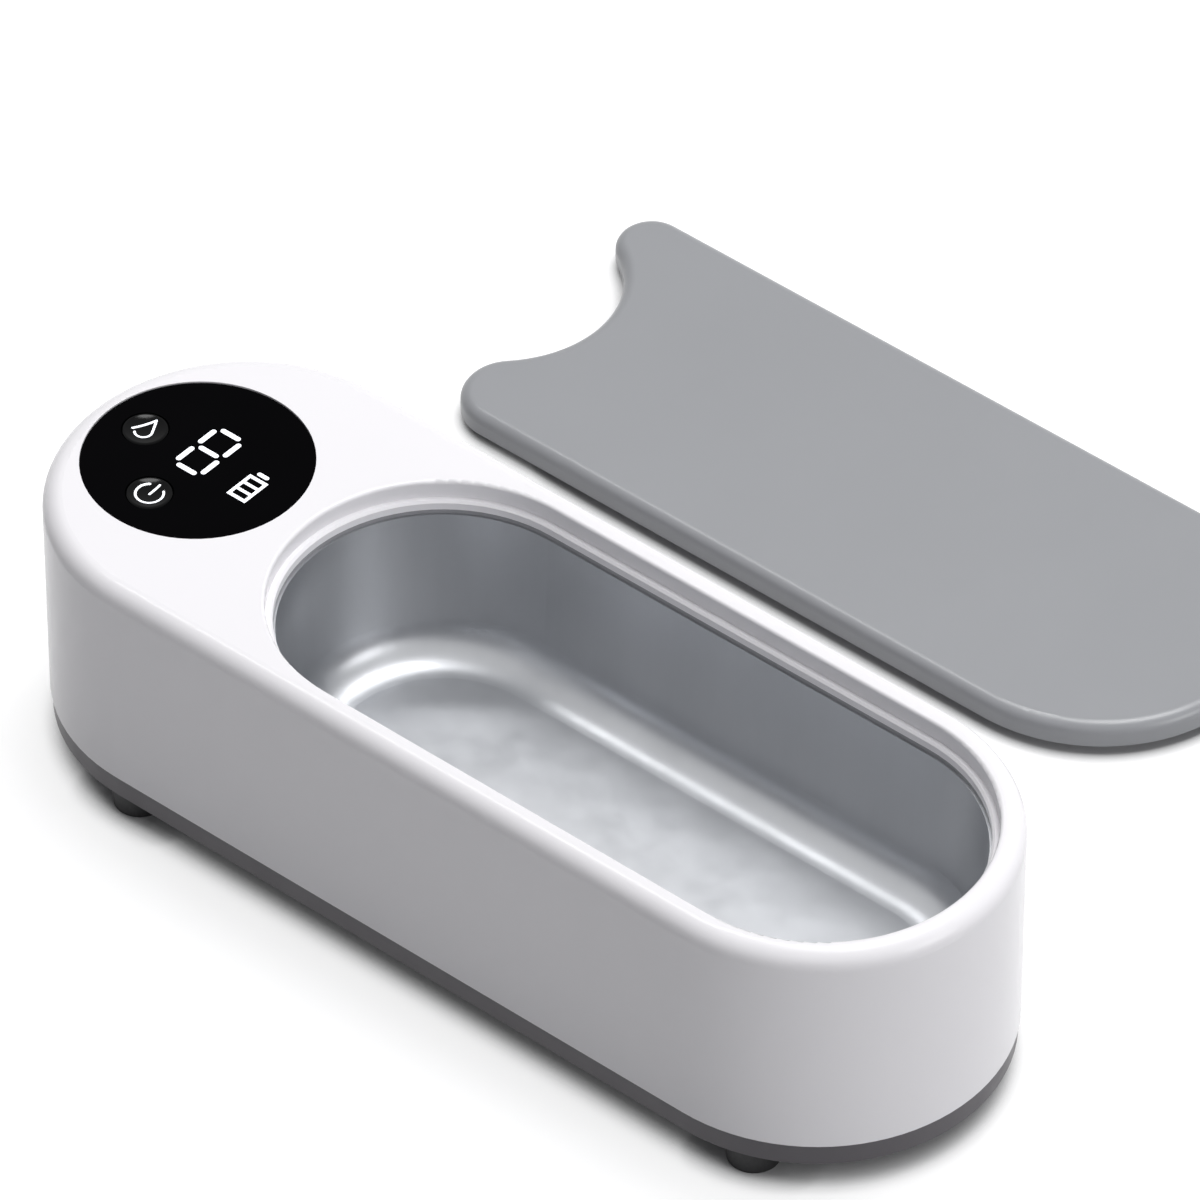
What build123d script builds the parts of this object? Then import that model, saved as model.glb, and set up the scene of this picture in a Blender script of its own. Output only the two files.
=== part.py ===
from build123d import *
import os
from math import atan2, cos, degrees, radians, sin, sqrt

# Ultrasonic cleaner for spectacles, in millimetres, +Z up.
# A long moulded body with round ends holds a steel tank and, at the -X end, a round control panel.
# Its lid lies beside it on the same table. The origin is on the table, in the middle of both.

# Body
body_length = 237.0
body_width = 84.0
shell_height = 52.2
shell_wall = 2.0
top_thickness = 2.6
top_edge_radius = 4.2

# Base, seal and feet
base_height = 6.0
base_inset = 0.5
base_wall = 2.2
base_floor = 2.4
base_edge = 0.7
lip_height = 3.0
lip_thickness = 1.6
lip_gap = 0.2
seal_inset = 1.0
seal_width = 0.8
seal_depth = 0.9
foot_radius = 6.0
foot_height = 5.8
foot_recess = 1.0
foot_taper = 4.0
foot_edge = 1.0
foot_gap = 0.1
left_foot_setback = 41.5
right_foot_setback = 31.0

# Rim round the tank: a recess for the lid's rib over a ledge that covers the tank's flange
rim_panel_gap = 5.9
rim_side_border = 6.0
rim_end_border = 5.3
rim_depth = 4.2
rim_edge_radius = 0.8
rim_wall = 2.2
ledge_width = 1.5
ledge_thickness = 2.2
ledge_edge = 0.5

# Tank, drawn from sheet steel
tank_sheet = 0.8
tank_step = 0.5
tank_floor_gap = 12.0
tank_draft = 3.0
tank_corner_radius = 9.0
flange_width = 1.6
gasket_thickness = 1.0
gasket_gap = 0.1
clamp_thickness = 2.4
clamp_gap = 0.4
clamp_reach = 3.7
clamp_side_gap = 0.3
clamp_screw_offset = 1.9
clamp_screws_a_side = 3
clamp_boss_radius = 2.1

# Transducer under the tank
transducer_radius = 20.0
transducer_thickness = 3.0
transducer_edge = 0.4
bond_thickness = 0.3
bond_margin = 0.8

# Control panel
display_radius = 24.5
display_border = 4.4
panel_thickness = 1.5
panel_recess = 0.2
panel_gap = 0.1
panel_edge = 0.2
panel_seat_width = 2.9
panel_seat_thickness = 2.1
panel_ring_wall = 3.0

# Keys and their switches
key_radius = 4.9
key_gap = 0.2
key_lift = 0.1
key_collar = 0.8
key_collar_thickness = 0.8
key_travel = 0.5
key_dish_depth = 0.5
key_dish_border = 0.5
key_edge = 0.2
stem_radius = 1.6
stem_length = 0.8
plunger_radius = 1.75
plunger_gap = 0.05
plunger_lift = 0.6
switch_size = 6.0
switch_corner = 0.5
switch_height = 3.4
soak_key_border = 9.6
soak_key_y = 0.4
power_key_x = -1.0
power_key_border = 10.6

# Display board and the light modules on it
board_thickness = 1.6
display_board_margin = 1.0
display_boss_radius = 2.1
display_boss_inset = 0.7
display_bosses = 3
display_boss_start = 180.0
module_gap = 0.3
module_pocket = 0.4
digit_y = 3.4
digit_width = 9.5
digit_height = 17.5
segment_length = 5.2
segment_width = 1.2
segment_gap = 0.85
gauge_border = 10.8
gauge_y = 0.9
gauge_width = 8.0
gauge_height = 11.0
gauge_cells = 3
gauge_cell_length = 5.0
gauge_cell_width = 1.2
gauge_cell_pitch = 2.4

# Screws: small ones into the boards and the clamp, large ones into the base
small_screw_radius = 1.0
small_head_radius = 1.8
small_head_height = 1.3
small_screw_length = 5.0
large_screw_radius = 1.5
large_head_radius = 2.6
large_head_height = 2.0
large_screw_length = 10.0
screw_gap = 0.05
clearance_gap = 0.15
head_side_count = 12
shank_side_count = 6

# Posts for the base screws
base_post_radius = 4.5
base_post_height = 5.6
housing_post_radius = 3.2
housing_post_height = 10.2
web_thickness = 1.6

# Driver board over the battery
driver_offset = 6.6
driver_length = 42.0
driver_width = 48.0
driver_height = 26.2
driver_post_radius = 2.4
driver_post_inset = 3.5

# Parts on the driver board
core_length = 14.0
core_width = 16.0
core_height = 12.0
core_x = -9.0
core_y = 8.0
core_limb = 3.0
coil_gap = 0.3
inductor_radius = 5.0
inductor_height = 8.0
inductor_groove = 1.2
inductor_flange = 1.4
inductor_x = -9.0
inductor_y = -9.0
capacitor_radius = 3.15
capacitor_height = 11.0
capacitor_edge = 0.4
capacitor_x = 0.5
capacitor_ys = (-18.0, -10.5, -3.0)
transistor_width = 10.0
transistor_height = 9.0
transistor_thickness = 4.5
tab_height = 6.2
tab_thickness = 1.3
transistor_x = 4.0
transistor_y = 15.0
sink_width = 16.0
sink_headroom = 6.4
sink_plate = 1.5
sink_fin = 1.0
sink_fins = 5
sink_depth = 6.0
chip_length = 6.0
chip_width = 9.0
chip_height = 1.6
chip_x = 9.0
chip_y = -5.0
chip_leg_width = 0.4
chip_leg_reach = 1.2
chip_leg_height = 0.55
chip_legs_a_side = 7
chip_leg_pitch = 1.2
header_length = 4.0
header_width = 6.5
header_height = 6.0
header_x = 16.0
header_wall = 0.8
header_depth = 4.0
charging_header_y = 15.0
battery_header_y = 5.0
ribbon_header_y = -6.5
transducer_header_y = -15.0

# Battery and its cradle
battery_radius = 9.2
battery_side_gap = 17.0
battery_cap_radius = 3.0
battery_cap_height = 1.0
battery_edge = 0.6
battery_offset = 5.6
cradle_floor = 1.6
cradle_wall = 1.6
cradle_inset = 3.5
cradle_height = 10.0
cradle_gap = 0.15
cradle_window_length = 12.0
cradle_windows = 3

# Charging socket on the rear side
socket_foot_gap = 22.0
socket_height = 17.8
socket_width = 9.0
socket_body_height = 3.2
socket_length = 7.4
socket_shell = 0.35
socket_tongue_width = 6.7
socket_tongue_height = 0.7
socket_wall_gap = 0.25
socket_recess = 1.0
socket_recess_border = 1.6
socket_inset = 1.3
socket_board_length = 15.0
socket_board_width = 12.0
socket_board_thickness = 1.2
socket_screw_spacing = 10.0
socket_screw_inset = 10.5
socket_post_radius = 2.0

# Wires inside the body
wire_radius = 0.6
wire_side_count = 6
wire_spacing = 2.0
wire_bend = 3.0
wire_floor_gap = 0.1
wire_seat = 3.0
wire_drop_x = 22.5
wire_arch = 4.0
battery_wire_reach = 4.0
battery_wire_drop = 3.6
transducer_wire_x = -10.0
socket_wire_reach = 4.0
socket_wire_x = -2.0
ribbon_width = 4.0
ribbon_thickness = 0.5
ribbon_slack = 3.0
ribbon_bend = 1.5

# Lid
lid_thickness = 5.4
lid_overhang = 2.3
lid_notch_border = 10.7
lid_far_tip_radius = 8.0
lid_near_tip_radius = 11.0
lid_edge_radius = 2.6
lid_plate = 2.2
lid_wall = 2.2
lid_rib_depth = 2.4
lid_rib_thickness = 1.6
lid_rib_gap = 0.3
lid_x = -33.8
lid_y = 134.6

# Heights, counted from the table
base_z = foot_height
floor_z = base_z + base_floor
seam_z = base_z + base_height
top_z = seam_z + shell_height
plate_z = top_z - top_thickness
ledge_z = top_z - rim_depth
ledge_under_z = ledge_z - ledge_thickness
flange_top_z = ledge_under_z - gasket_thickness
flange_z = flange_top_z - tank_sheet
clamp_z = flange_z - clamp_thickness
tank_under_z = floor_z + tank_floor_gap - tank_sheet
bond_z = tank_under_z - bond_thickness
transducer_z = bond_z - transducer_thickness
panel_top_z = top_z - panel_recess
panel_z = panel_top_z - panel_thickness
seat_z = panel_z - panel_seat_thickness
collar_top_z = panel_z - key_lift
collar_z = collar_top_z - key_collar_thickness
stem_z = collar_z - stem_length
display_board_top_z = stem_z - plunger_lift - switch_height
display_board_z = display_board_top_z - board_thickness
driver_z = base_z + driver_height
driver_top_z = driver_z + board_thickness
sink_height = display_board_z - sink_headroom - driver_top_z
post_z = base_z + base_post_height
battery_z = floor_z + cradle_floor + cradle_gap + battery_radius
socket_z = base_z + socket_height
socket_board_z = socket_z - socket_body_height / 2 - socket_board_thickness

# Places in plan, counted from the body's centre
body_radius = body_width / 2
left_end = -body_length / 2
right_end = body_length / 2
end_x = right_end - body_radius
display_x = left_end + display_border + display_radius
rim_radius = body_radius - rim_side_border
rim_left = display_x + display_radius + rim_panel_gap
rim_length = right_end - rim_end_border - rim_left
rim_x = rim_left + rim_length / 2
rim_end_x = rim_length / 2 - rim_radius
ledge_radius = rim_radius - ledge_width
tank_radius = ledge_radius - tank_step
display_board_radius = display_radius + display_board_margin
display_boss_circle = display_radius - display_boss_inset
driver_x = display_x + driver_offset
battery_x = display_x + battery_offset
battery_length = body_width - 2 * battery_side_gap
cradle_length = battery_length - 2 * cradle_inset
left_foot_x = left_end + left_foot_setback
right_foot_x = right_end - right_foot_setback
socket_x = left_foot_x + socket_foot_gap
socket_screw_y = body_radius - socket_screw_inset
lid_half_width = rim_radius + lid_overhang
notch_radius = lid_half_width - lid_notch_border
lid_right_x = rim_x + rim_end_x
foot_path = body_radius - base_inset - foot_edge - foot_radius
left_foot_y = sqrt(foot_path**2 - max(-left_foot_x - end_x, 0) ** 2)
right_foot_y = sqrt(foot_path**2 - max(right_foot_x - end_x, 0) ** 2)
foot_places = {
    "foot_front_left": (left_foot_x, -left_foot_y),
    "foot_rear_left": (left_foot_x, left_foot_y),
    "foot_front_right": (right_foot_x, -right_foot_y),
    "foot_rear_right": (right_foot_x, right_foot_y),
}
soak_key_x = soak_key_border - display_radius
power_key_y = power_key_border - display_radius
gauge_x = display_radius - gauge_border
key_places = {"soak": (soak_key_x, soak_key_y), "power": (power_key_x, power_key_y)}
clamp_screw_y = rim_radius + clamp_screw_offset
clamp_screw_pitch = 2 * rim_end_x / (clamp_screws_a_side - 1)
driver_hole_x = driver_length - 2 * driver_post_inset
driver_hole_y = driver_width - 2 * driver_post_inset
cradle_width = 2 * (battery_radius + cradle_gap + cradle_wall)
display_boss_angles = [display_boss_start + boss * 360 / display_bosses for boss in range(display_bosses)]

# The body and the lid together are centred on the origin
body_y = -(lid_y + lid_half_width - body_radius) / 2
overlap = 0.4
pick_margin = 0.5

os.makedirs("parts", exist_ok=True)


def level(z):
    """Horizontal plane at height z, centred on the body."""
    return Plane((0, body_y, z))


def display_level(z):
    """Horizontal plane at height z, centred on the control panel."""
    return Plane((display_x, body_y, z))


def driver_level(z):
    """Horizontal plane at height z, centred on the driver board."""
    return Plane((driver_x, body_y, z))


def lid_level(z):
    """Horizontal plane at height z, placed so that the lid's plan keeps the body's coordinates."""
    return Plane((lid_x, body_y + lid_y, z))


def across(y, x=0.0, z=0.0):
    """Upright plane facing the front, through x, y and z in the body's coordinates."""
    return Plane((x, body_y + y, z), x_dir=(1, 0, 0), z_dir=(0, -1, 0))


def body_outline(inset=0.0, mode=Mode.ADD):
    """The body's plan, drawn in by inset."""
    SlotOverall(body_length - 2 * inset, body_width - 2 * inset, mode=mode)


def rim_outline(grow=0.0, mode=Mode.ADD):
    """The rim's plan, let out by grow."""
    with Locations((rim_x, 0)):
        SlotOverall(rim_length + 2 * grow, 2 * (rim_radius + grow), mode=mode)


def edges_inside(edges, z, inset):
    """Edges at height z that lie within the rim's plan, drawn in by inset."""
    reach_x = rim_length / 2 - inset + pick_margin
    reach_y = rim_radius - inset + pick_margin
    return (edges.filter_by_position(Axis.Z, z, z)
            .filter_by_position(Axis.X, rim_x - reach_x, rim_x + reach_x)
            .filter_by_position(Axis.Y, body_y - reach_y, body_y + reach_y))


def write(name, piece):
    """Label a finished piece and write its file."""
    piece.label = name
    export_step(piece, f"parts/{name}.step")


# Housing: one moulded shell, open below
with BuildPart() as housing:
    with BuildSketch(level(seam_z)):
        body_outline()
    extrude(amount=shell_height)
    fillet(housing.faces().sort_by(Axis.Z)[-1].edges(), top_edge_radius)
    with BuildSketch(level(seam_z)):
        body_outline(shell_wall)
    extrude(amount=plate_z - seam_z, mode=Mode.SUBTRACT)

    # Wall round the tank's mouth, with the recess and the ledge
    with BuildSketch(level(ledge_under_z)):
        rim_outline(rim_wall)
    extrude(amount=plate_z + overlap - ledge_under_z)
    with BuildSketch(level(ledge_z)):
        rim_outline()
    extrude(amount=rim_depth, mode=Mode.SUBTRACT)
    with BuildSketch(level(ledge_under_z)):
        rim_outline(-ledge_width)
    extrude(amount=ledge_thickness, mode=Mode.SUBTRACT)
    fillet(edges_inside(housing.edges(), top_z, 0), rim_edge_radius)
    chamfer(edges_inside(housing.edges(), ledge_z, ledge_width), ledge_edge)

    # Seat of the control panel
    with BuildSketch(display_level(seat_z)):
        Circle(display_radius + panel_ring_wall)
    extrude(amount=plate_z + overlap - seat_z)
    with BuildSketch(display_level(panel_z)):
        Circle(display_radius + panel_gap)
    extrude(amount=top_z - panel_z, mode=Mode.SUBTRACT)
    with BuildSketch(display_level(seat_z)):
        Circle(display_radius - panel_seat_width)
    extrude(amount=panel_z - seat_z, mode=Mode.SUBTRACT)

    # Bosses for the display board
    with BuildSketch(display_level(display_board_top_z)):
        with PolarLocations(display_boss_circle, display_bosses, display_boss_start):
            Circle(display_boss_radius)
    extrude(amount=seat_z + overlap - display_board_top_z)
    with BuildSketch(display_level(display_board_top_z)):
        with PolarLocations(display_boss_circle, display_bosses, display_boss_start):
            Circle(small_screw_radius + screw_gap)
    extrude(amount=small_screw_length, mode=Mode.SUBTRACT)

    # Bosses for the tank's clamp, set into the side walls
    with BuildSketch(level(flange_z)):
        with Locations((rim_x, 0)):
            with GridLocations(clamp_screw_pitch, 2 * clamp_screw_y, clamp_screws_a_side, 2):
                Circle(clamp_boss_radius)
    extrude(amount=ledge_under_z + overlap - flange_z)
    with BuildSketch(level(flange_z)):
        with Locations((rim_x, 0)):
            with GridLocations(clamp_screw_pitch, 2 * clamp_screw_y, clamp_screws_a_side, 2):
                Circle(small_screw_radius + screw_gap)
    extrude(amount=small_screw_length - clamp_thickness + overlap, mode=Mode.SUBTRACT)

    # Posts for the base screws, with a web to the wall above the base's lip
    with BuildSketch(level(post_z)):
        with Locations(*foot_places.values()):
            Circle(housing_post_radius)
    extrude(amount=housing_post_height)
    with BuildSketch(level(seam_z + lip_height + lip_gap)):
        for x, y in foot_places.values():
            hub_x = max(-end_x, min(x, end_x))
            angle = degrees(atan2(y, x - hub_x))
            with Locations(Location((x, y), angle)):
                Rectangle(foot_radius + foot_edge + base_inset - shell_wall / 2, web_thickness,
                          align=(Align.MIN, Align.CENTER))
    extrude(amount=post_z + housing_post_height - seam_z - lip_height - lip_gap)
    with BuildSketch(level(post_z)):
        with Locations(*foot_places.values()):
            Circle(large_screw_radius + screw_gap)
    extrude(amount=large_screw_length - large_head_height, mode=Mode.SUBTRACT)

    # Charging socket's hole and the recess round it for the plug's grip
    with BuildSketch(across(body_radius - shell_wall, socket_x, socket_z)):
        SlotOverall(socket_width + 2 * socket_wall_gap, socket_body_height + 2 * socket_wall_gap)
    extrude(amount=-shell_wall, mode=Mode.SUBTRACT)
    with BuildSketch(across(body_radius, socket_x, socket_z)):
        SlotOverall(socket_width + 2 * socket_recess_border, socket_body_height + 2 * socket_recess_border)
    extrude(amount=socket_recess, mode=Mode.SUBTRACT)
write("housing", housing.part)

# Base: floor pan with a lip inside the housing and a groove for the seal
with BuildPart() as base:
    with BuildSketch(level(base_z)):
        body_outline(base_inset)
    extrude(amount=base_height)
    chamfer(base.faces().sort_by(Axis.Z)[0].edges(), base_edge)
    with BuildSketch(level(floor_z)):
        body_outline(base_inset + base_wall)
    extrude(amount=seam_z - floor_z, mode=Mode.SUBTRACT)
    with BuildSketch(level(floor_z)):
        body_outline(shell_wall + lip_gap)
        body_outline(shell_wall + lip_gap + lip_thickness, mode=Mode.SUBTRACT)
    extrude(amount=seam_z + lip_height - floor_z)
    with BuildSketch(level(seam_z - seal_depth)):
        body_outline(seal_inset)
        body_outline(seal_inset + seal_width, mode=Mode.SUBTRACT)
    extrude(amount=seal_depth, mode=Mode.SUBTRACT)

    # Posts under the housing's posts, the boards and the cradle
    with BuildSketch(level(base_z + foot_recess)):
        with Locations(*foot_places.values()):
            Circle(base_post_radius)
    extrude(amount=base_post_height - foot_recess)
    with BuildSketch(driver_level(base_z + foot_recess)):
        with GridLocations(driver_hole_x, driver_hole_y, 2, 2):
            Circle(driver_post_radius)
    extrude(amount=driver_z - base_z - foot_recess)
    with BuildSketch(level(base_z + foot_recess)):
        with Locations((socket_x, socket_screw_y)):
            with GridLocations(socket_screw_spacing, 0, 2, 1):
                Circle(socket_post_radius)
    extrude(amount=socket_board_z - base_z - foot_recess)

    # Foot recesses, counterbores for the screw heads and the screw holes
    with BuildSketch(level(base_z)):
        with Locations(*foot_places.values()):
            Circle(foot_radius + foot_gap)
    extrude(amount=foot_recess, mode=Mode.SUBTRACT)
    with BuildSketch(level(base_z + foot_recess)):
        with Locations(*foot_places.values()):
            Circle(large_head_radius + clearance_gap)
    extrude(amount=large_head_height, mode=Mode.SUBTRACT)
    with BuildSketch(level(base_z + foot_recess)):
        with Locations(*foot_places.values()):
            Circle(large_screw_radius + clearance_gap)
    extrude(amount=base_post_height, mode=Mode.SUBTRACT)
    with BuildSketch(driver_level(driver_z)):
        with GridLocations(driver_hole_x, driver_hole_y, 2, 2):
            Circle(small_screw_radius + screw_gap)
    extrude(amount=-small_screw_length, mode=Mode.SUBTRACT)
    with BuildSketch(level(socket_board_z)):
        with Locations((socket_x, socket_screw_y)):
            with GridLocations(socket_screw_spacing, 0, 2, 1):
                Circle(small_screw_radius + screw_gap)
    extrude(amount=-small_screw_length, mode=Mode.SUBTRACT)
write("base", base.part)

# Seal in the base's groove
with BuildPart() as base_seal:
    with BuildSketch(level(seam_z - seal_depth)):
        body_outline(seal_inset)
        body_outline(seal_inset + seal_width, mode=Mode.SUBTRACT)
    extrude(amount=seal_depth)
write("base_seal", base_seal.part)

# Feet: tapered rubber discs, pressed into the base over its screws
for name, (x, y) in foot_places.items():
    with BuildPart() as foot:
        with BuildSketch(level(base_z)):
            with Locations((x, y)):
                Circle(foot_radius)
        extrude(amount=foot_recess)
        extrude(foot.faces().sort_by(Axis.Z)[0], amount=foot_height, taper=foot_taper)
    write(name, foot.part)


def screw(radius, length, head_radius, head_height):
    """Screw that points up, with few sides and with its head's underside at height 0."""
    with BuildPart(mode=Mode.PRIVATE) as made:
        with BuildSketch(Plane.XY):
            RegularPolygon(head_radius, head_side_count)
        extrude(amount=-head_height)
        with BuildSketch(Plane.XY):
            RegularPolygon(radius, shank_side_count)
        extrude(amount=length)
    return made.part


def screw_set(places, z, radius=small_screw_radius, length=small_screw_length,
              head_radius=small_head_radius, head_height=small_head_height, down=False):
    """One node of equal screws, with their heads' undersides at height z."""
    one = screw(radius, length, head_radius, head_height)
    turn = Rot(180, 0, 0) if down else Rot(0, 0, 0)
    return Compound([Pos(x, body_y + y, z) * turn * one for x, y in places])


base_screws = screw_set(foot_places.values(), base_z + foot_recess + large_head_height, large_screw_radius,
                        large_screw_length, large_head_radius, large_head_height)
write("base_screws", base_screws)

# Tank: drawn pan with a flange, open at the top
with BuildPart() as tank:
    with BuildSketch(level(flange_top_z)):
        rim_outline(tank_radius + tank_sheet - rim_radius)
    extrude(amount=-(flange_top_z - tank_under_z), taper=tank_draft)
    fillet(tank.faces().sort_by(Axis.Z)[0].edges(), tank_corner_radius + tank_sheet)
    offset(amount=-tank_sheet, openings=tank.faces().sort_by(Axis.Z)[-1])
    with BuildSketch(level(flange_z)):
        rim_outline(tank_radius + tank_sheet + flange_width - rim_radius)
        rim_outline(tank_radius + tank_sheet / 2 - rim_radius, mode=Mode.SUBTRACT)
        with Locations((rim_x, 0)):
            with GridLocations(clamp_screw_pitch, 2 * clamp_screw_y, clamp_screws_a_side, 2):
                Circle(clamp_boss_radius + clamp_gap / 2, mode=Mode.SUBTRACT)
    extrude(amount=tank_sheet)
write("tank", tank.part)

# Gasket between the ledge and the tank's flange
with BuildPart() as tank_gasket:
    with BuildSketch(level(flange_top_z)):
        rim_outline(tank_radius + tank_sheet + flange_width - rim_radius)
        rim_outline(gasket_gap - ledge_width, mode=Mode.SUBTRACT)
        with Locations((rim_x, 0)):
            with GridLocations(clamp_screw_pitch, 2 * clamp_screw_y, clamp_screws_a_side, 2):
                Circle(clamp_boss_radius + clamp_gap / 2, mode=Mode.SUBTRACT)
    extrude(amount=gasket_thickness)
write("tank_gasket", tank_gasket.part)

# Clamp: frame that presses the flange up against the gasket
with BuildPart() as tank_clamp:
    with BuildSketch(level(clamp_z)):
        rim_outline(clamp_reach)
        body_outline(shell_wall + clamp_side_gap, mode=Mode.INTERSECT)
        rim_outline(tank_radius + tank_sheet + clamp_gap - rim_radius, mode=Mode.SUBTRACT)
        with Locations((rim_x, 0)):
            with GridLocations(clamp_screw_pitch, 2 * clamp_screw_y, clamp_screws_a_side, 2):
                Circle(small_screw_radius + screw_gap, mode=Mode.SUBTRACT)
    extrude(amount=clamp_thickness)
write("tank_clamp", tank_clamp.part)

clamp_screw_places = [(rim_x + place.position.X, place.position.Y) for place in
                      GridLocations(clamp_screw_pitch, 2 * clamp_screw_y, clamp_screws_a_side, 2)]
write("clamp_screws", screw_set(clamp_screw_places, clamp_z))

# Transducer: piezo disc on its bond layer, in the middle of the tank's floor
with BuildPart() as transducer_bond:
    with BuildSketch(level(bond_z)):
        with Locations((rim_x, 0)):
            Circle(transducer_radius + bond_margin)
    extrude(amount=bond_thickness)
write("transducer_bond", transducer_bond.part)

with BuildPart() as transducer:
    with BuildSketch(level(transducer_z)):
        with Locations((rim_x, 0)):
            Circle(transducer_radius)
    extrude(amount=transducer_thickness)
    chamfer(transducer.edges().filter_by(GeomType.CIRCLE), transducer_edge)
write("transducer", transducer.part)

# Control panel: dark disc with a hole for each key
with BuildPart() as display_panel:
    with BuildSketch(display_level(panel_z)):
        Circle(display_radius)
        with Locations(*key_places.values()):
            Circle(key_radius + key_gap, mode=Mode.SUBTRACT)
    extrude(amount=panel_thickness)
    chamfer(display_panel.edges().group_by(Axis.Z)[-1].sort_by(SortBy.RADIUS)[-1], panel_edge)
write("display_panel", display_panel.part)

# Keys: dished caps with a collar under the panel, each on the plunger of its switch
dish_radius = key_radius - key_dish_border
dish_sphere = (dish_radius**2 + key_dish_depth**2) / (2 * key_dish_depth)
for name, (x, y) in key_places.items():
    with BuildPart() as key:
        with BuildSketch(display_level(collar_z)):
            with Locations((x, y)):
                Circle(key_radius + key_collar)
        extrude(amount=key_collar_thickness)
        with BuildSketch(display_level(collar_top_z)):
            with Locations((x, y)):
                Circle(key_radius)
        extrude(amount=panel_top_z - collar_top_z)
        chamfer(key.faces().sort_by(Axis.Z)[-1].edges(), key_edge)
        with Locations((display_x + x, body_y + y, panel_top_z + dish_sphere - key_dish_depth)):
            Sphere(dish_sphere, mode=Mode.SUBTRACT)
        with BuildSketch(display_level(stem_z)):
            with Locations((x, y)):
                Circle(stem_radius)
        extrude(amount=stem_length)
    write(f"{name}_key", key.part)

    with BuildPart() as plunger:
        with BuildSketch(display_level(display_board_top_z + switch_height / 2)):
            with Locations((x, y)):
                Circle(plunger_radius)
        extrude(amount=stem_z - display_board_top_z - switch_height / 2)
    write(f"{name}_plunger", plunger.part)

    with BuildPart() as switch:
        with BuildSketch(display_level(display_board_top_z)):
            with Locations((x, y)):
                Rectangle(switch_size, switch_size)
        extrude(amount=switch_height)
        chamfer(switch.edges().filter_by(Axis.Z), switch_corner)
        with BuildSketch(display_level(display_board_top_z + switch_height / 2 - key_travel - plunger_gap)):
            with Locations((x, y)):
                Circle(plunger_radius + plunger_gap)
        extrude(amount=switch_height, mode=Mode.SUBTRACT)
    write(f"{name}_switch", switch.part)

# Display board, hung from the housing's bosses by screws from below
with BuildPart() as display_board:
    with BuildSketch(display_level(display_board_z)):
        Circle(display_board_radius)
        with PolarLocations(display_boss_circle, display_bosses, display_boss_start):
            Circle(small_screw_radius + screw_gap, mode=Mode.SUBTRACT)
    extrude(amount=board_thickness)
write("display_board", display_board.part)

display_screw_places = [(display_x + display_boss_circle * cos(radians(angle)),
                         display_boss_circle * sin(radians(angle))) for angle in display_boss_angles]
write("display_screws", screw_set(display_screw_places, display_board_z))

# Digit module: seven light chambers, one to each bar of the figure
module_height = panel_z - module_gap - display_board_top_z
bar_x = (segment_length + segment_width) / 2
bar_y = segment_length + segment_gap
with BuildPart() as digit_module:
    with BuildSketch(display_level(display_board_top_z)):
        with Locations((0, digit_y)):
            Rectangle(digit_width, digit_height)
    extrude(amount=module_height)
    with BuildSketch(display_level(display_board_top_z + module_height - module_pocket)):
        with Locations((0, digit_y)):
            for row in (-1, 0, 1):
                with Locations((0, row * bar_y)):
                    Rectangle(segment_length, segment_width)
            with GridLocations(2 * bar_x, bar_y, 2, 2):
                Rectangle(segment_width, segment_length)
    extrude(amount=module_pocket, mode=Mode.SUBTRACT)
write("digit_module", digit_module.part)

# Battery gauge module: a row of light chambers
with BuildPart() as gauge_module:
    with BuildSketch(display_level(display_board_top_z)):
        with Locations((gauge_x, gauge_y)):
            Rectangle(gauge_width, gauge_height)
    extrude(amount=module_height)
    with BuildSketch(display_level(display_board_top_z + module_height - module_pocket)):
        with Locations((gauge_x, gauge_y)):
            with GridLocations(0, gauge_cell_pitch, 1, gauge_cells):
                Rectangle(gauge_cell_length, gauge_cell_width)
    extrude(amount=module_pocket, mode=Mode.SUBTRACT)
write("gauge_module", gauge_module.part)

# Driver board on four posts of the base
with BuildPart() as driver_board:
    with BuildSketch(driver_level(driver_z)):
        Rectangle(driver_length, driver_width)
        with GridLocations(driver_hole_x, driver_hole_y, 2, 2):
            Circle(small_screw_radius + screw_gap, mode=Mode.SUBTRACT)
    extrude(amount=board_thickness)
write("driver_board", driver_board.part)

driver_screw_places = [(driver_x + place.position.X, place.position.Y) for place in
                       GridLocations(driver_hole_x, driver_hole_y, 2, 2)]
write("driver_screws", screw_set(driver_screw_places, driver_top_z, down=True))

# Transformer: ferrite core with a window each side of its middle limb, and the coil round that limb
window_width = (core_width - 2 * core_limb - 2 * core_limb) / 2
with BuildPart() as transformer_core:
    with BuildSketch(driver_level(driver_top_z)):
        with Locations((core_x, core_y)):
            Rectangle(core_length / 2, core_width)
    extrude(amount=core_height)
    with BuildSketch(driver_level(driver_top_z + core_limb)):
        with Locations((core_x, core_y)):
            with GridLocations(0, core_width - 2 * core_limb - window_width, 1, 2):
                Rectangle(core_length, window_width)
    extrude(amount=core_height - 2 * core_limb, mode=Mode.SUBTRACT)
write("transformer_core", transformer_core.part)

with BuildPart() as transformer_coil:
    with BuildSketch(driver_level(driver_top_z + core_limb + coil_gap)):
        with Locations((core_x, core_y)):
            RectangleRounded(core_length, core_width - 2 * core_limb - 2 * coil_gap, core_limb)
            Rectangle(core_length / 2 + 2 * coil_gap, 2 * core_limb + 2 * coil_gap, mode=Mode.SUBTRACT)
    extrude(amount=core_height - 2 * core_limb - 2 * coil_gap)
write("transformer_coil", transformer_coil.part)

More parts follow.
